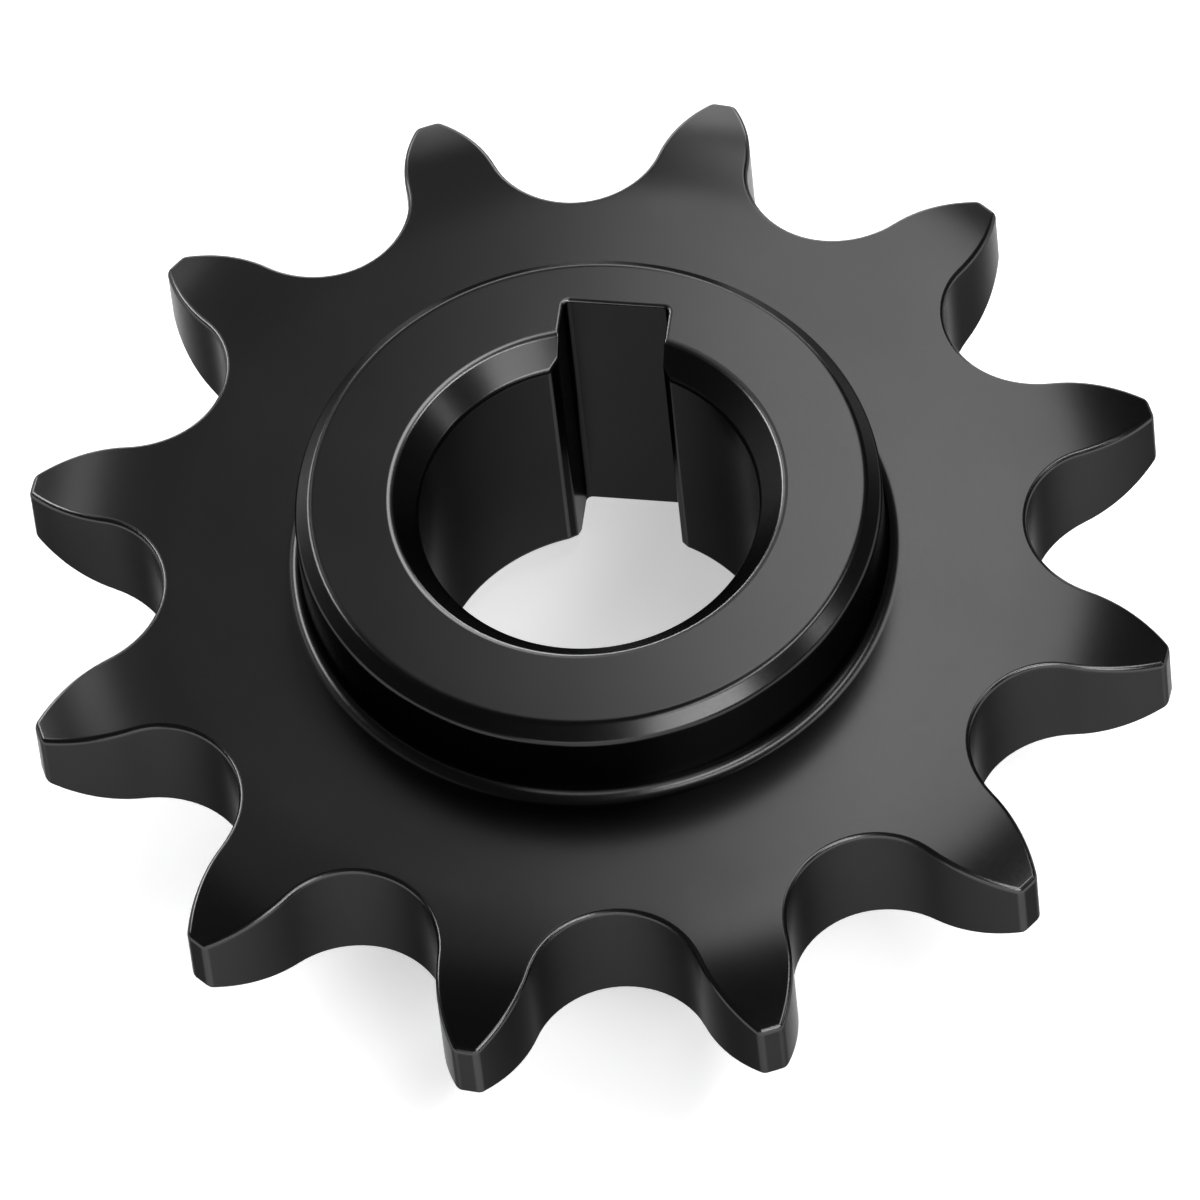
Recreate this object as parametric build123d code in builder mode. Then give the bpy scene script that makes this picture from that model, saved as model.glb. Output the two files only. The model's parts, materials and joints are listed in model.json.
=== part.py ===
from build123d import *
import os
from math import atan2, cos, hypot, pi, radians, sin, sqrt, tan

# Chain sprocket with a hub on both sides, for one strand of roller chain.
# The hub's lower face stands on Z = 0, its axis is Z, and the keyway points along +Y.
# All lengths are in millimetres and all angles in degrees.

# The chain that the teeth carry
teeth = 12
chain_pitch = 12.7
roller_diameter = 7.92

# Tooth outline
seat_clearance = 0.19      # the seat's radius over the roller's radius
seat_angle = 139.0         # how far the seat's arc reaches round the roller
tip_height_factor = 0.6    # tip diameter / pitch = this + the cotangent of half a tooth's angle
tip_land = 1.12            # width of the flat at the tip of a tooth
tooth_phase = 5.4          # the tooth nearest to the keyway lies this far clockwise of it
tooth_edge_chamfer = 0.2   # breaks both edges of the tooth outline

# The toothed plate, turned thinner towards the tips on both sides
plate_thickness = 6.5
relief_depth = 1.5         # how much lower each side lies at the tips
relief_margin = 0.5        # the sides start to fall away this far inside the roots of the teeth

# Hub
hub_diameter = 27.6
hub_projection = 4.95      # how far the hub stands out from each side of the plate
hub_chamfer = 0.75
hub_foot_bevel = 0.45      # fills the corner where the hub meets the plate

# Bore and keyway
bore_diameter = 16.0
bore_chamfer = 1.25
key_width = 5.0
key_depth = 2.8            # from the bore's wall to the keyway's floor
key_floor_radius = 0.3
key_mouth_radius = 0.5     # eases the keyway's long edges where they meet the bore

# Sizes that follow from those above
tooth_angle = 360.0 / teeth
half_tooth = radians(tooth_angle / 2)
pitch_radius = chain_pitch / 2 / sin(half_tooth)
tip_radius = chain_pitch * (tip_height_factor + 1 / tan(half_tooth)) / 2
seat_radius = roller_diameter / 2 + seat_clearance
overrun = tip_land / 2
hub_radius = hub_diameter / 2
hub_length = plate_thickness + 2 * hub_projection
plate_bottom = hub_projection
plate_top = hub_projection + plate_thickness
relief_start = pitch_radius - seat_radius - relief_margin
relief_width = tip_radius - relief_start
relief_middle = relief_start + relief_width / 2
relief_radius = (relief_width**2 + relief_depth**2) / (2 * relief_depth)
relief_drop = relief_radius - sqrt(relief_radius**2 - (relief_width / 2) ** 2)
bore_radius = bore_diameter / 2
bore_face_radius = bore_radius + bore_chamfer
key_floor = bore_radius + key_depth


def polar(radius, angle):
    """A point of the teeth's plane, from its distance to the axis and its angle in radians."""
    return (radius * cos(angle), radius * sin(angle))


def mirrored(point):
    """The same point on the other side of the X axis."""
    return (point[0], -point[1])


# One gap between two teeth, with its middle on the X axis.
# The roller's seat is an arc about a point of the pitch circle. Each flank is an arc that leaves the seat
# tangentially, bends the other way and passes through the corner of the tip's flat.
seat_end_direction = polar(1, pi - radians(seat_angle / 2))
seat_end = (
    pitch_radius + seat_radius * seat_end_direction[0],
    seat_radius * seat_end_direction[1],
)
tip_corner = polar(tip_radius, half_tooth - tip_land / 2 / tip_radius)
chord = (seat_end[0] - tip_corner[0], seat_end[1] - tip_corner[1])
chord_along_seat = chord[0] * seat_end_direction[0] + chord[1] * seat_end_direction[1]
flank_radius = -(chord[0] ** 2 + chord[1] ** 2) / (2 * chord_along_seat)
flank_centre = (
    seat_end[0] + flank_radius * seat_end_direction[0],
    seat_end[1] + flank_radius * seat_end_direction[1],
)


def flank_point(radius):
    """Where the flank's arc lies at a distance from the axis, by the cosine rule."""
    centre_distance = hypot(*flank_centre)
    cosine = (radius**2 + centre_distance**2 - flank_radius**2) / (2 * radius * centre_distance)
    turn = atan2(sqrt(1 - cosine**2), cosine)
    return polar(radius, atan2(flank_centre[1], flank_centre[0]) - turn)


flank_middle = flank_point((hypot(*seat_end) + tip_radius) / 2)
flank_end = flank_point(tip_radius + overrun)
beyond_tips = (flank_end[0] + chain_pitch, flank_end[1])

with BuildSketch() as gap:
    with BuildLine():
        ThreePointArc(mirrored(seat_end), (pitch_radius - seat_radius, 0), seat_end)
        ThreePointArc(seat_end, flank_middle, flank_end)
        Polyline(flank_end, beyond_tips, mirrored(beyond_tips), mirrored(flank_end))
        ThreePointArc(mirrored(flank_end), mirrored(flank_middle), mirrored(seat_end))
    make_face()

# The bore's outline with its keyway
with BuildSketch() as keyed_bore:
    Circle(bore_radius)
    with Locations((0, key_floor / 2)):
        Rectangle(key_width, key_floor)
    floor_corners = keyed_bore.vertices().group_by(Axis.Y)[-1]
    fillet(floor_corners, radius=key_floor_radius)
    mouth_corners = keyed_bore.vertices().group_by(Axis.Y)[-3]
    fillet(mouth_corners, radius=key_mouth_radius)


def distance_from_axis(shape):
    """How far the middle of a face or an edge lies from the sprocket's axis."""
    return hypot(shape.center().X, shape.center().Y)


with BuildPart() as sprocket:
    # The blank as it leaves the lathe: hub and plate are one turned section
    with BuildSketch(Plane.XZ) as section:
        with BuildLine():
            Polyline(
                (0, 0),
                (hub_radius - hub_chamfer, 0),
                (hub_radius, hub_chamfer),
                (hub_radius, plate_bottom),
                (relief_start, plate_bottom),
            )
            ThreePointArc(
                (relief_start, plate_bottom),
                (relief_middle, plate_bottom + relief_drop),
                (tip_radius, plate_bottom + relief_depth),
            )
            Line((tip_radius, plate_bottom + relief_depth), (tip_radius, plate_top - relief_depth))
            ThreePointArc(
                (tip_radius, plate_top - relief_depth),
                (relief_middle, plate_top - relief_drop),
                (relief_start, plate_top),
            )
            Polyline(
                (relief_start, plate_top),
                (hub_radius, plate_top),
                (hub_radius, hub_length - hub_chamfer),
                (hub_radius - hub_chamfer, hub_length),
                (0, hub_length),
                (0, 0),
            )
        make_face()
        hub_wall_ends = section.vertices().group_by(Axis.X)[2].sort_by(Axis.Y)
        chamfer(hub_wall_ends[1:3], length=hub_foot_bevel)
    revolve(axis=Axis.Z)

    # The gaps, which leave the teeth standing
    with BuildSketch():
        with PolarLocations(0, teeth, start_angle=90 - tooth_phase + tooth_angle / 2):
            add(gap.sketch)
    extrude(amount=hub_length, mode=Mode.SUBTRACT)

    # Break both edges of the tooth outline, all the way round
    upright_walls = sprocket.faces().filter_by(GeomType.CYLINDER)
    tooth_walls = [w for w in upright_walls if distance_from_axis(w) > hub_radius]
    outline = [e for w in tooth_walls for e in w.edges() if e.geom_type != GeomType.LINE]
    chamfer(outline, length=tooth_edge_chamfer)

    # Bore and keyway, right through the hub
    add(keyed_bore.sketch)
    extrude(amount=hub_length, mode=Mode.SUBTRACT)

    # The bore's chamfer at both ends
    with BuildSketch(Plane.XZ) as countersinks:
        with BuildLine():
            Polyline(
                (0, 0),
                (bore_face_radius, 0),
                (bore_radius, bore_chamfer),
                (0, bore_chamfer),
                (0, 0),
            )
        make_face()
        mirror(about=Plane.XZ.offset(-hub_length / 2))
    revolve(axis=Axis.Z, mode=Mode.SUBTRACT)

sprocket.part.label = "sprocket"
os.makedirs("parts", exist_ok=True)
export_step(sprocket.part, "parts/sprocket.step")
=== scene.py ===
import json
from math import atan2, ceil, cos, hypot, pi, radians, sin, sqrt, tan

import bmesh
import bpy
from mathutils import Matrix, Vector


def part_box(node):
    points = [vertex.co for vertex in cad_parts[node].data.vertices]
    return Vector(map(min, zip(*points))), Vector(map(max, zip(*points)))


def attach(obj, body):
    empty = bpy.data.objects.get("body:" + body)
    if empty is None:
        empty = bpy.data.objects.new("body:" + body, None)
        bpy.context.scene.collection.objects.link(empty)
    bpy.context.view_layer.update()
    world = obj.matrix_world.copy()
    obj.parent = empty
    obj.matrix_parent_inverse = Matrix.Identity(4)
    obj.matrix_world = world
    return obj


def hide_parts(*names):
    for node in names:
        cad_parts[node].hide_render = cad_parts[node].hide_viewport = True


# A chain sprocket of blackened steel, on a pale floor in soft studio light.
# Sizes are in millimetres and angles in degrees. MM turns them into Blender's metres.
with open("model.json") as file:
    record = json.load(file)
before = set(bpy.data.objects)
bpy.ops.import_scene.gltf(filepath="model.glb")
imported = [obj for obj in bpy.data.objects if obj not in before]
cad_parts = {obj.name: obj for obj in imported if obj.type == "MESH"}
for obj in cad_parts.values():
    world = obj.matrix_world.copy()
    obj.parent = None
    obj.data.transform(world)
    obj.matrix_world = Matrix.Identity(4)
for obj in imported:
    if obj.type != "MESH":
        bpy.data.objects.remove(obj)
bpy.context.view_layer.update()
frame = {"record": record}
MM = 0.001

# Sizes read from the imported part
bore = next(m for m in frame["record"]["mounts"] if m["name"] == "bore")
lowest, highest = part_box("sprocket")
HUB_LENGTH = (highest[2] - lowest[2]) / MM
BORE_RADIUS = bore["dims"]["r_mm"]
BORE_CHAMFER = (HUB_LENGTH - bore["dims"]["length_mm"]) / 2

# The chain and the teeth
TEETH = 12
CHAIN_PITCH = 12.7
ROLLER_DIAMETER = 7.92
SEAT_CLEARANCE = 0.19      # the seat's radius over the roller's radius
SEAT_ANGLE = 139.0         # how far the seat's arc reaches round the roller
TIP_HEIGHT_FACTOR = 0.6    # tip diameter / pitch = this + the cotangent of half a tooth's angle
TIP_LAND = 1.12            # width of the flat at the tip of a tooth
TOOTH_PHASE = 5.4          # the tooth nearest to the keyway lies this far clockwise of it
PLATE_THICKNESS = 6.5
RELIEF_DEPTH = 1.5         # how much lower each side of the plate lies at the tips
RELIEF_MARGIN = 0.5        # the sides start to fall away this far inside the roots of the teeth

# The hub and the keyway
HUB_RADIUS = 13.8
HUB_CHAMFER = 0.75
KEY_WIDTH = 5.0
KEY_DEPTH = 2.8            # from the bore's wall to the keyway's floor
KEY_FLOOR_RADIUS = 0.3
KEY_MOUTH_RADIUS = 0.5

# Rounds that catch the light along the edges. The foot's round is the widest.
FOOT_ROUND = 0.7
TOOTH_EDGE_ROUND = 0.25
LIP_ROUND = 0.12
TURNED_EDGE_ROUND = 0.2
SHARP_ANGLE = 18.0         # edges that turn less than this are smooth and get no round
UPRIGHT_SHARE = 0.6        # an edge counts as upright if it rises by more than this share of its length

# What follows from them
TOOTH_ANGLE = 2 * pi / TEETH
PITCH_RADIUS = CHAIN_PITCH / 2 / sin(TOOTH_ANGLE / 2)
TIP_RADIUS = CHAIN_PITCH * (TIP_HEIGHT_FACTOR + 1 / tan(TOOTH_ANGLE / 2)) / 2
SEAT_RADIUS = ROLLER_DIAMETER / 2 + SEAT_CLEARANCE
PLATE_TOP = (HUB_LENGTH + PLATE_THICKNESS) / 2
RELIEF_START = PITCH_RADIUS - SEAT_RADIUS - RELIEF_MARGIN
RELIEF_WIDTH = TIP_RADIUS - RELIEF_START
RELIEF_RADIUS = (RELIEF_WIDTH**2 + RELIEF_DEPTH**2) / (2 * RELIEF_DEPTH)
BORE_FACE_RADIUS = BORE_RADIUS + BORE_CHAMFER
KEY_FLOOR = BORE_RADIUS + KEY_DEPTH

# How finely the surfaces are divided
SEAT_STEPS = 14
FLANK_STEPS = 12
LAND_STEPS = 2
SIDE_RINGS = 16
FOOT_RING = 1.25           # the plate's first ring lies this far outside the hub, clear of its round
EDGE_RING = 0.4            # the plate's last ring lies this far inside the outline, clear of its round
FACE_RING_RADIUS = (BORE_FACE_RADIUS + HUB_RADIUS) / 2    # the toothed ring ends here on the hub's faces
BORE_STEP = 2.0
CORNER_STEP = 15.0
ROUND_SEGMENTS = 4

# How near two points lie when they are one
COLUMN_WELD = 0.0001
RING_WELD = 0.002
BODY_WELD = 0.001

# Hot black oxide: where it is deep, where it is thin, and where the edges are rubbed and painted lighter as
# highlight lines
DEEP_OXIDE = "#303030"
THIN_OXIDE = "#383838"
# The lighter colour of the rounded edges: partly rubbed oxide, partly a painted highlight that makes them
# shine as fine lines
WEAR_AND_HIGHLIGHT_OXIDE = "#5A5A5A"
SLANTING_TINT = "#A8A8A8"  # what the oxide leaves of light that comes in at a slant
GLOSSIEST = 0.22           # the roughness where the skin is glossiest, and where it is dullest
DULLEST = 0.26
TOOTH_WEAR_AND_HIGHLIGHT = 0.4           # how far the teeth's edges are rubbed and lightened by the painted highlight, as a share of the bore's
LEAST_WEAR_AND_HIGHLIGHT = 0.7         # what is left of the rubbing and its painted highlight where the oxide is deep
PATCH_SIZE = 8.0           # the oxide's deeper and thinner patches
PATCH_DETAIL = 3.0
PATCH_GLOSS = 0.5          # how far the patches change the gloss, as a share of what the grain does
GRAIN_SIZE = 0.2           # the grain, drawn ten times coarser than on the real part
GRAIN_DETAIL = 2.0
NOISE_RANGE = (0.3, 0.7)   # where nearly all of a noise's values lie
GLOSS_RANGE = (0.4, 1.1)   # where those of the patches and the grain together lie

# White matt paper under the sprocket
PAPER = "#F0F0F0"
WHITE = "#FFFFFF"
PAPER_ROUGHNESS = 0.9
PAPER_LIFT = 0.5           # how far it is lifted towards white
FLOOR_SIZE = 4000
FLOOR_DROP = 0.01          # keeps it just under the hub's lower face

# The photograph's viewpoint, measured from the middle of the plate's lower side
CAMERA_AZIMUTH = -77.055
CAMERA_ELEVATION = 55.4
CAMERA_ROLL = -6.69
CAMERA_DISTANCE = 834.8
CAMERA_AIM = (-0.152, 1.374)
FOCAL_LENGTH = 529.26
SENSOR_WIDTH = 36.0
FURTHEST_SEEN = 10000

# Where the lamps stand. The flat faces mirror what is behind the sprocket, at this azimuth and elevation.
BEHIND = (103, 55)
NEAR = 120
FAR = 250
ROOM_LIGHT = 0.08          # a faint even light from all sides, where 1 is white

# The Mix node's sockets for colours
MIX_FACTOR = 0
MIX_A = 6
MIX_B = 7
MIX_RESULT = 2


def arc(centre, radius, start, end, steps):
    """Points of a circular arc between two angles in radians, both ends included."""
    angles = [start + (end - start) * i / steps for i in range(steps + 1)]
    return [Vector((centre[0] + radius * cos(a), centre[1] + radius * sin(a))) for a in angles]


def half_tooth_outline():
    """The outline from the middle of a gap, on the X axis, to the middle of the next tooth's tip."""
    seat_end_angle = pi - radians(SEAT_ANGLE / 2)
    seat = arc((PITCH_RADIUS, 0), SEAT_RADIUS, pi, seat_end_angle, SEAT_STEPS)
    seat_direction = Vector((cos(seat_end_angle), sin(seat_end_angle)))
    corner_angle = TOOTH_ANGLE / 2 - TIP_LAND / 2 / TIP_RADIUS
    corner = Vector((cos(corner_angle), sin(corner_angle))) * TIP_RADIUS
    chord = seat[-1] - corner
    flank_radius = -chord.length_squared / (2 * chord.dot(seat_direction))
    centre = seat[-1] + seat_direction * flank_radius
    start = atan2(*reversed(seat[-1] - centre)) % (2 * pi)
    end = atan2(*reversed(corner - centre)) % (2 * pi)
    flank = arc(centre, flank_radius, start, end, FLANK_STEPS)
    land = arc((0, 0), TIP_RADIUS, corner_angle, TOOTH_ANGLE / 2, LAND_STEPS)
    return seat + flank[1:] + land[1:]


def sector_outline():
    """One tooth's outline, from the middle of one gap to the middle of the next."""
    half = half_tooth_outline()
    across = Vector((cos(TOOTH_ANGLE / 2), sin(TOOTH_ANGLE / 2)))
    mirrored = [2 * p.dot(across) * across - p for p in reversed(half[:-1])]
    return half + mirrored


def side_height(radius):
    """How high the plate's upper side lies at a radius: flat, then falling away to the tips."""
    run = max(0.0, radius - RELIEF_START)
    return PLATE_TOP - RELIEF_RADIUS + sqrt(RELIEF_RADIUS**2 - run**2)


def inward_ring(outline, depth):
    """The outline moved into the metal by a depth, square to itself."""
    turn = Matrix.Rotation(TOOTH_ANGLE, 2)
    before = turn.transposed() @ outline[-2]
    after = turn @ outline[1]
    padded = [before] + outline + [after]
    moved = []
    for previous, point, following in zip(padded, outline, padded[2:]):
        into = (following - point).normalized() + (point - previous).normalized()
        inward = Vector((-into.y, into.x)).normalized()
        moved.append(point + inward * depth)
    return moved


def tooth_sector():
    """The metal between two gap middles, from the hub's face out round a tooth, as columns of points."""
    outline = sector_outline()
    ring = inward_ring(outline, EDGE_RING)
    near = HUB_RADIUS + FOOT_RING
    columns = []
    for point, support in zip(outline, ring):
        outwards = support.normalized()
        radii = [near + (support.length - near) * i / SIDE_RINGS for i in range(SIDE_RINGS + 1)]
        column = [
            (outwards * FACE_RING_RADIUS, HUB_LENGTH),
            (outwards * (HUB_RADIUS - HUB_CHAMFER), HUB_LENGTH),
            (outwards * HUB_RADIUS, HUB_LENGTH - HUB_CHAMFER),
            (outwards * HUB_RADIUS, PLATE_TOP),
        ]
        column += [(outwards * r, side_height(r)) for r in radii]
        column.append((point, side_height(point.length)))
        lower = [(p, HUB_LENGTH - z) for p, z in reversed(column)]
        columns.append([Vector((p.x, p.y, z)) * MM for p, z in column + lower])
    return columns


def mesh_from_columns(name, columns, closed):
    """A mesh with a face between each two neighbouring columns. Faces that shrink to nothing are left out."""
    bm = bmesh.new()
    rows = [[bm.verts.new(p) for p in column] for column in columns]
    pairs = list(zip(rows, rows[1:]))
    if closed:
        pairs.append((rows[-1], rows[0]))
    for left, right in pairs:
        for i in range(len(left) - 1):
            bm.faces.new((left[i], left[i + 1], right[i + 1], right[i]))
    bmesh.ops.remove_doubles(bm, verts=bm.verts, dist=COLUMN_WELD * MM)
    mesh = bpy.data.meshes.new(name)
    bm.to_mesh(mesh)
    bm.free()
    return mesh


def node(tree, kind, values=None, links=None, **settings):
    """Adds one node with its settings, its sockets' values and the sockets that feed it."""
    made = tree.nodes.new(kind)
    for name, value in settings.items():
        setattr(made, name, value)
    for socket, value in (values or {}).items():
        made.inputs[socket].default_value = value
    for socket, source in (links or {}).items():
        tree.links.new(source, made.inputs[socket])
    return made


def tooth_ring_tree():
    """Geometry Nodes: one tooth's sector, turned about the axis as often as there are teeth, and welded."""
    tree = bpy.data.node_groups.new("tooth_ring", "GeometryNodeTree")
    tree.is_modifier = True
    face = tree.interface
    face.new_socket("Sector", in_out="INPUT", socket_type="NodeSocketGeometry")
    face.new_socket("Teeth", in_out="INPUT", socket_type="NodeSocketInt")
    face.new_socket("First turn", in_out="INPUT", socket_type="NodeSocketFloat")
    face.new_socket("Weld distance", in_out="INPUT", socket_type="NodeSocketFloat")
    face.new_socket("Finish", in_out="INPUT", socket_type="NodeSocketMaterial")
    face.new_socket("Ring", in_out="OUTPUT", socket_type="NodeSocketGeometry")
    given = node(tree, "NodeGroupInput").outputs
    step = node(tree, "ShaderNodeMath", {0: 2 * pi}, {1: given["Teeth"]}, operation="DIVIDE")
    index = node(tree, "GeometryNodeInputIndex")
    turn = node(
        tree,
        "ShaderNodeMath",
        links={0: index.outputs[0], 1: step.outputs[0], 2: given["First turn"]},
        operation="MULTIPLY_ADD",
    )
    rotation = node(tree, "ShaderNodeCombineXYZ", links={"Z": turn.outputs[0]})
    points = node(tree, "GeometryNodePoints", links={"Count": given["Teeth"]})
    ring = node(
        tree,
        "GeometryNodeInstanceOnPoints",
        links={"Points": points.outputs[0], "Instance": given["Sector"], "Rotation": rotation.outputs[0]},
    )
    real = node(tree, "GeometryNodeRealizeInstances", links={0: ring.outputs[0]})
    welded = node(
        tree,
        "GeometryNodeMergeByDistance",
        links={"Geometry": real.outputs[0], "Distance": given["Weld distance"]},
    )
    finished = node(
        tree,
        "GeometryNodeSetMaterial",
        links={"Geometry": welded.outputs[0], "Material": given["Finish"]},
    )
    node(tree, "NodeGroupOutput", links={"Ring": finished.outputs[0]})
    return tree


def tooth_ring(finish):
    """The toothed plate and the hub's outside, as one mesh that is open at the rings on the hub's faces."""
    sector = mesh_from_columns("tooth_sector", tooth_sector(), closed=False)
    carrier = bpy.data.objects.new("tooth_ring", sector)
    bpy.context.scene.collection.objects.link(carrier)
    modifier = carrier.modifiers.new("teeth", "NODES")
    modifier.node_group = tooth_ring_tree()
    values = {
        "Teeth": TEETH,
        "First turn": radians(90 - TOOTH_PHASE) + TOOTH_ANGLE / 2,
        "Weld distance": RING_WELD * MM,
        "Finish": finish,
    }
    for item in modifier.node_group.interface.items_tree:
        if item.name in values:
            modifier[item.identifier] = values[item.name]
    evaluated = carrier.evaluated_get(bpy.context.evaluated_depsgraph_get())
    mesh = bpy.data.meshes.new_from_object(evaluated)
    bpy.data.objects.remove(carrier)
    return mesh


def half_bore_outline():
    """The bore's outline from its point opposite the keyway round to the middle of the keyway's floor."""
    half_key = KEY_WIDTH / 2
    mouth_x = half_key + KEY_MOUTH_RADIUS
    mouth = Vector((mouth_x, sqrt((BORE_RADIUS + KEY_MOUTH_RADIUS) ** 2 - mouth_x**2)))
    mouth_angle = atan2(mouth.y, mouth.x)
    steps = ceil((mouth_angle + pi / 2) / radians(BORE_STEP))
    wall = arc((0, 0), BORE_RADIUS, -pi / 2, mouth_angle, steps)
    # The photograph shows a flat along the mouth, so its arc is drawn as one straight step
    lip = arc(mouth, KEY_MOUTH_RADIUS, pi + mouth_angle, pi, 1)
    crossing = Vector((half_key, sqrt(BORE_FACE_RADIUS**2 - half_key**2)))
    corner = Vector((half_key - KEY_FLOOR_RADIUS, KEY_FLOOR - KEY_FLOOR_RADIUS))
    steps = ceil(90 / CORNER_STEP)
    floor = arc(corner, KEY_FLOOR_RADIUS, 0, pi / 2, steps)
    return wall + lip[1:] + [crossing] + floor + [Vector((0, KEY_FLOOR))]


def bore_wall():
    """The bore and keyway with the chamfer at both ends, as columns of points."""
    half = half_bore_outline()
    outline = half + [Vector((-p.x, p.y)) for p in reversed(half[1:-1])]
    columns = []
    for point in outline:
        drop = max(0.0, BORE_FACE_RADIUS - point.length)
        rim = point * max(1.0, BORE_FACE_RADIUS / point.length)
        column = [(rim, HUB_LENGTH), (point, HUB_LENGTH - drop), (point, drop), (rim, 0.0)]
        columns.append([Vector((p.x, p.y, z)) * MM for p, z in column])
    return columns


def close_hub_faces(bm):
    """Fills the flat ring between the bore's rim and the toothed ring on both faces of the hub."""
    level = BODY_WELD * MM
    for height in (0.0, HUB_LENGTH * MM):
        open_edges = [e for e in bm.edges if e.is_boundary]
        edges = [e for e in open_edges if all(abs(v.co.z - height) < level for v in e.verts)]
        bmesh.ops.triangle_fill(bm, use_beauty=True, edges=edges, normal=Vector((0, 0, 1)))


def round_widths(bm):
    """Gives each sharp edge the width of its round, as a share of the widest one."""
    layer = bm.edges.layers.float.new("bevel_weight_edge")
    for edge in bm.edges:
        if len(edge.link_faces) != 2 or edge.calc_face_angle() < radians(SHARP_ANGLE):
            continue
        start, end = (v.co for v in edge.verts)
        middle = (start + end) / 2 / MM
        radius = hypot(middle.x, middle.y)
        upright = abs(start.z - end.z) > UPRIGHT_SHARE * edge.calc_length()
        width = TURNED_EDGE_ROUND
        if radius > HUB_RADIUS + FOOT_RING:
            width = TOOTH_EDGE_ROUND
        elif edge.calc_face_angle_signed() < 0 and radius > BORE_FACE_RADIUS:
            width = FOOT_ROUND
        elif upright and radius < BORE_FACE_RADIUS:
            width = LIP_ROUND
        edge[layer] = width / FOOT_ROUND


def mark_worn_and_highlit_edges(mesh):
    """Turns the mark that the rounding leaves on its faces into a number per point, which the finish reads.

    It is highest along the middle of each round and falls to 0 where the round meets the faces beside it.
    Shafts and keys rub the edges of the bore, and the chain rubs those of the teeth a little less. Nothing
    rubs the hub's outside.
    The finish paints the marked rounds lighter, which is partly this wear and partly a painted highlight
    along the edges.
    """
    wear_and_highlight = [1.0] * len(mesh.vertices)
    for face in mesh.polygons:
        radius = hypot(face.center.x, face.center.y) / MM
        rubbed_and_highlit = face.material_index
        if radius > HUB_RADIUS + FOOT_RING:
            rubbed_and_highlit *= TOOTH_WEAR_AND_HIGHLIGHT
        elif radius > HUB_RADIUS - HUB_CHAMFER - TURNED_EDGE_ROUND:
            rubbed_and_highlit = 0.0
        for corner in face.vertices:
            wear_and_highlight[corner] = min(wear_and_highlight[corner], rubbed_and_highlit)
        face.material_index = 0
    wear_and_highlight_layer = mesh.attributes.new("worn_and_highlit_edge", "FLOAT", "POINT")
    wear_and_highlight_layer.data.foreach_set("value", wear_and_highlight)


def closed_body(finish):
    """The toothed ring, the bore and the hub's faces as one closed mesh, with the widths of its rounds."""
    bm = bmesh.new()
    bm.from_mesh(tooth_ring(finish))
    bm.from_mesh(mesh_from_columns("bore_wall", bore_wall(), closed=True))
    close_hub_faces(bm)
    bmesh.ops.remove_doubles(bm, verts=bm.verts, dist=BODY_WELD * MM)
    bmesh.ops.recalc_face_normals(bm, faces=bm.faces)
    round_widths(bm)
    for face in bm.faces:
        face.smooth = True
        face.material_index = 0
    mesh = bpy.data.meshes.new("sprocket_body")
    bm.to_mesh(mesh)
    bm.free()
    return mesh


def sprocket_piece(finish):
    """The whole sprocket with its edges rounded."""
    mesh = closed_body(finish)
    # The rounding marks its own faces with the second slot, which holds the same finish
    for _ in range(2):
        mesh.materials.append(finish)
    piece = bpy.data.objects.new("sprocket_body", mesh)
    bpy.context.scene.collection.objects.link(piece)
    rounds = piece.modifiers.new("edge_rounds", "BEVEL")
    rounds.limit_method = "WEIGHT"
    rounds.width = FOOT_ROUND * MM
    rounds.segments = ROUND_SEGMENTS
    rounds.use_clamp_overlap = False
    rounds.harden_normals = True
    rounds.material = 1
    evaluated = piece.evaluated_get(bpy.context.evaluated_depsgraph_get())
    finished = bpy.data.meshes.new_from_object(evaluated)
    piece.modifiers.clear()
    mark_worn_and_highlit_edges(finished)
    piece.data = finished
    piece.data.materials.clear()
    piece.data.materials.append(finish)
    return piece


def linear(hex_colour):
    """An sRGB hex colour as linear RGBA."""
    parts = [int(hex_colour[i:i + 2], 16) / 255 for i in (1, 3, 5)]
    return [c / 12.92 if c <= 0.04045 else ((c + 0.055) / 1.055) ** 2.4 for c in parts] + [1.0]


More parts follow.
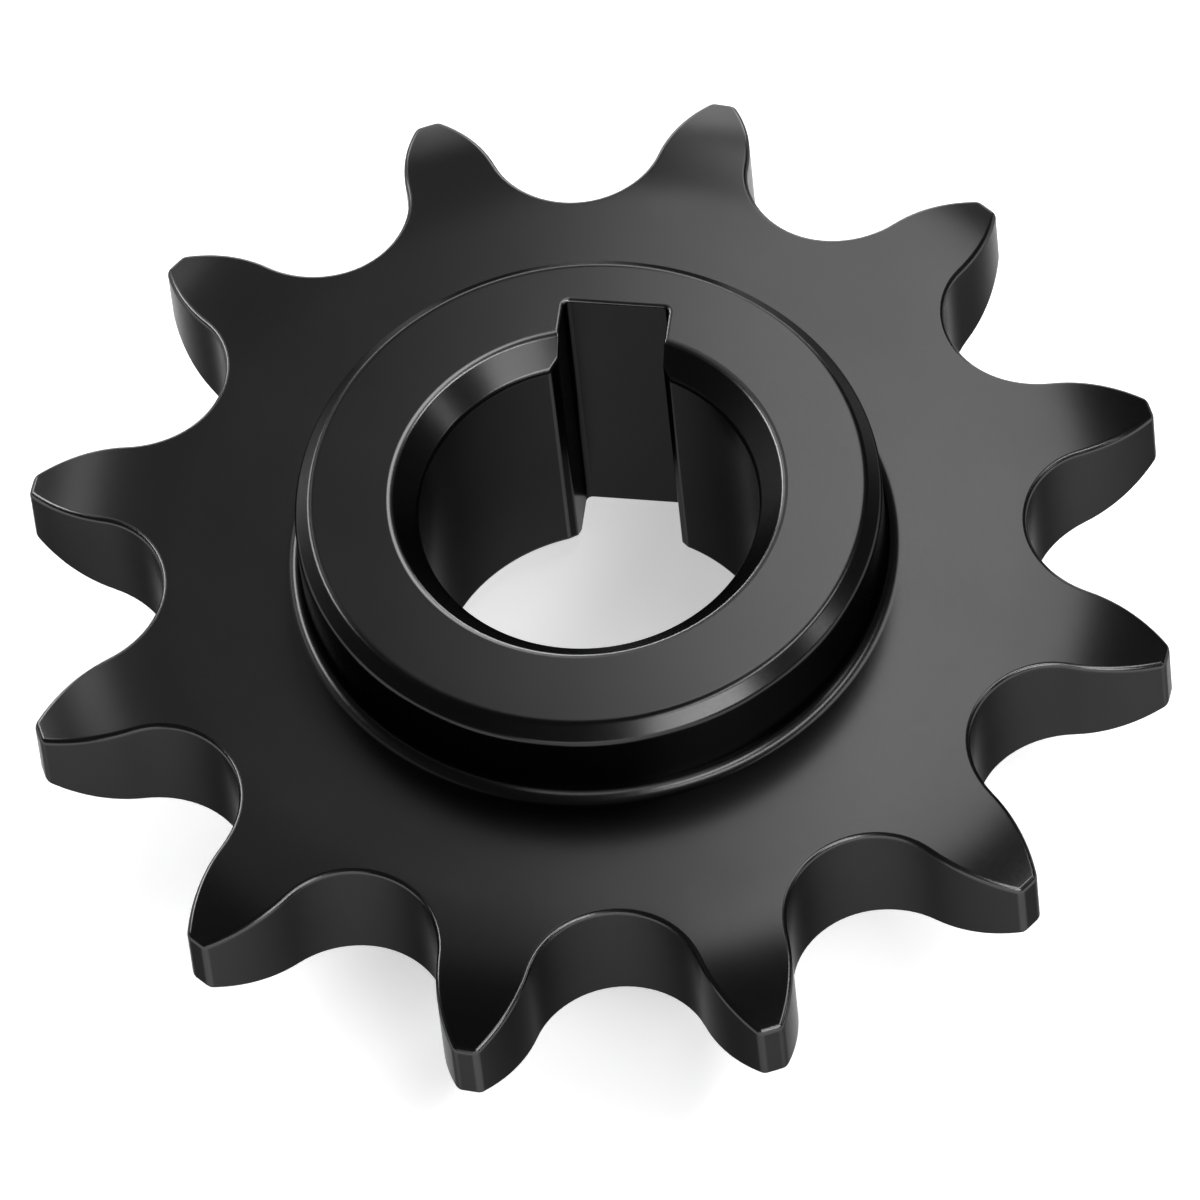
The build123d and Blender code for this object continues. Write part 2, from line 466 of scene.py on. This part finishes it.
def blackened_steel():
    """Hot black oxide on machined steel: a satin near-black skin that shows the lamps softly.

    The oxide's depth and gloss drift by a little over some millimetres, and a fine grain breaks up the
    The rounded edges are painted lighter, partly as rubbed thin skin and partly as a painted highlight, so
    that they shine as fine lines.
    """
    material = bpy.data.materials.new("black_oxide_on_machined_steel")
    material.use_nodes = True
    tree = material.node_tree
    shader = tree.nodes["Principled BSDF"]
    shader.inputs["Metallic"].default_value = 1.0
    # The oxide swallows light that comes in at a slant, so the walls of the teeth and the bore stay dark
    shader.inputs["Specular Tint"].default_value = linear(SLANTING_TINT)
    place = node(tree, "ShaderNodeTexCoord").outputs["Object"]
    # Where the oxide grew a little deeper or thinner
    patches = node(
        tree,
        "ShaderNodeTexNoise",
        {"Scale": 1 / (PATCH_SIZE * MM), "Detail": PATCH_DETAIL},
        {"Vector": place},
    )
    # The grain is about 0.02 mm on the real part. It is drawn ten times coarser, so that it shows at all.
    grain = node(
        tree,
        "ShaderNodeTexNoise",
        {"Scale": 1 / (GRAIN_SIZE * MM), "Detail": GRAIN_DETAIL},
        {"Vector": place},
    )
    skin = node(
        tree,
        "ShaderNodeMix",
        {MIX_A: linear(DEEP_OXIDE), MIX_B: linear(THIN_OXIDE)},
        {MIX_FACTOR: patches.outputs["Fac"]},
        data_type="RGBA",
    )
    # The edges' wear and painted highlight are uneven, and weaker where the oxide is deep
    edge = node(tree, "ShaderNodeAttribute", attribute_name="worn_and_highlit_edge")
    rubbed_and_highlit = node(
        tree,
        "ShaderNodeMapRange",
        {
            "From Min": NOISE_RANGE[0],
            "From Max": NOISE_RANGE[1],
            "To Min": LEAST_WEAR_AND_HIGHLIGHT,
            "To Max": 1.0,
        },
        {"Value": patches.outputs["Fac"]},
    )
    wear_and_highlight = node(
        tree,
        "ShaderNodeMath",
        links={0: edge.outputs["Fac"], 1: rubbed_and_highlit.outputs["Result"]},
        operation="MULTIPLY",
    )
    # Lightens the rounds: partly wear, partly a painted highlight along the edges
    colour = node(
        tree,
        "ShaderNodeMix",
        {MIX_B: linear(WEAR_AND_HIGHLIGHT_OXIDE)},
        {MIX_FACTOR: wear_and_highlight.outputs[0], MIX_A: skin.outputs[MIX_RESULT]},
        data_type="RGBA",
    )
    # The gloss follows the grain, and the patches less
    gloss = node(
        tree,
        "ShaderNodeMath",
        {1: PATCH_GLOSS},
        {0: patches.outputs["Fac"], 2: grain.outputs["Fac"]},
        operation="MULTIPLY_ADD",
    )
    roughness = node(
        tree,
        "ShaderNodeMapRange",
        {
            "From Min": GLOSS_RANGE[0],
            "From Max": GLOSS_RANGE[1],
            "To Min": GLOSSIEST,
            "To Max": DULLEST,
        },
        {"Value": gloss.outputs[0]},
    )
    tree.links.new(colour.outputs[MIX_RESULT], shader.inputs["Base Color"])
    tree.links.new(roughness.outputs["Result"], shader.inputs["Roughness"])
    return material


def floor_material():
    """White matt paper. It is lifted a little towards pure white where a lens or a reflection shows it."""
    material = bpy.data.materials.new("white_matt_paper")
    material.use_nodes = True
    tree = material.node_tree
    shader = tree.nodes["Principled BSDF"]
    shader.inputs["Base Color"].default_value = linear(PAPER)
    shader.inputs["Roughness"].default_value = PAPER_ROUGHNESS
    shader.inputs["Emission Color"].default_value = linear(WHITE)
    path = node(tree, "ShaderNodeLightPath").outputs
    mirrored = node(
        tree,
        "ShaderNodeMath",
        links={0: path["Is Glossy Ray"], 1: path["Is Transmission Ray"]},
        operation="MAXIMUM",
    )
    shown = node(
        tree,
        "ShaderNodeMath",
        links={0: path["Is Camera Ray"], 1: mirrored.outputs[0]},
        operation="MAXIMUM",
    )
    lift = node(tree, "ShaderNodeMath", {1: PAPER_LIFT}, {0: shown.outputs[0]}, operation="MULTIPLY")
    tree.links.new(lift.outputs[0], shader.inputs["Emission Strength"])
    return material


def card(name, direction, distance, size, strength, shift=(0, 0), lean=0.0):
    """A soft rectangular lamp that stands at an azimuth and elevation and faces the sprocket.

    Its strength is how bright it looks, where 1 is white. The shift moves it to the left and up, as seen
    from the sprocket, and the lean turns it in its own plane.
    """
    azimuth, elevation = direction
    lamp = bpy.data.lights.new(name, "AREA")
    lamp.shape = "RECTANGLE"
    lamp.size, lamp.size_y = size[0] * MM, size[1] * MM
    lamp.energy = strength * pi * lamp.size * lamp.size_y
    body = bpy.data.objects.new(name, lamp)
    turn = Matrix.Rotation(radians(azimuth + 90), 4, "Z") @ Matrix.Rotation(radians(90 - elevation), 4, "X")
    offset = Matrix.Translation(Vector((*shift, distance)) * MM) @ Matrix.Rotation(radians(lean), 4, "Z")
    body.matrix_world = turn @ offset
    bpy.context.scene.collection.objects.link(body)


def add_lamps():
    """The studio's lamps. Those that the flat faces mirror stand near, so that they fade across the plate."""
    # The bright panel for the right of the plate and the hub's face, and a dim one for their left
    card("back_softbox", BEHIND, NEAR, (56, 92), 4.0, shift=(-31.5, 23))
    card("back_softbox_foot", BEHIND, NEAR, (42, 38), 4.0, shift=(-38.5, -42))
    card("back_fill", BEHIND, NEAR, (66, 130), 0.37, shift=(30, 5))
    # Strips for the sloping sides of the far teeth, and of those on the left
    card("back_strip", BEHIND, NEAR, (40, 26), 6.4, shift=(-26, -90))
    card("back_strip_end", BEHIND, NEAR, (34, 30), 2.0, shift=(11, -92))
    card("left_strip", BEHIND, NEAR, (22, 112), 3.0, shift=(69, -29), lean=-9)
    # The light patch on the front of the hub's chamfer, and the light line round the hub's foot
    card("front_softbox", (-49, 31), FAR, (132, 45), 12.5)
    card("front_strip", (-22, 53.5), FAR, (270, 32), 12.0)
    # A low lamp in front, which shows the sprocket from behind
    card("front_low_softbox", (-77, 13), FAR, (260, 70), 2.2)
    # The smaller patch on the right of the hub's chamfer
    card("side_strip", (-3, 23), FAR, (25, 60), 6.0)
    # The light lines along the left edges of the hub and the teeth
    card("left_softbox", BEHIND, NEAR, (60, 150), 13.0, shift=(149, -35), lean=-12)
    # A little more light for the right of the hub's face, just in front of the bright panel
    card("back_softbox_middle", BEHIND, NEAR - 1, (16, 22), 1.2, shift=(-13, 12))
    # The light lines along the far edges
    card("horizon_strip", (100, 6), FAR, (280, 40), 14.0)


def add_room_light():
    """The faint light that a studio's walls throw back."""
    world = bpy.data.worlds.new("studio")
    world.use_nodes = True
    background = world.node_tree.nodes["Background"].inputs
    background["Color"].default_value = linear(WHITE)
    background["Strength"].default_value = ROOM_LIGHT
    bpy.context.scene.world = world


def add_camera():
    """The photograph's viewpoint: a long lens, high in front of the sprocket."""
    data = bpy.data.cameras.new("camera")
    data.sensor_width = SENSOR_WIDTH
    data.lens = FOCAL_LENGTH
    data.clip_end = FURTHEST_SEEN * MM
    body = bpy.data.objects.new("camera", data)
    turn = (
        Matrix.Rotation(radians(CAMERA_AZIMUTH + 90), 4, "Z")
        @ Matrix.Rotation(radians(90 - CAMERA_ELEVATION), 4, "X")
        @ Matrix.Rotation(radians(CAMERA_ROLL), 4, "Z")
    )
    offset = Matrix.Translation(Vector((*CAMERA_AIM, CAMERA_DISTANCE)) * MM)
    lift = Matrix.Translation((0, 0, (HUB_LENGTH - PLATE_THICKNESS) / 2 * MM))
    body.matrix_world = lift @ turn @ offset
    bpy.context.scene.collection.objects.link(body)
    bpy.context.scene.camera = body


finish = blackened_steel()
sprocket = sprocket_piece(finish)
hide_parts("sprocket")
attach(sprocket, "root")

bpy.ops.mesh.primitive_plane_add(size=FLOOR_SIZE * MM, location=(0, 0, -FLOOR_DROP * MM))
floor = bpy.context.object
floor.name = "floor"
floor.data.materials.append(floor_material())

add_lamps()
add_room_light()
add_camera()
bpy.context.scene.view_settings.view_transform = "Standard"
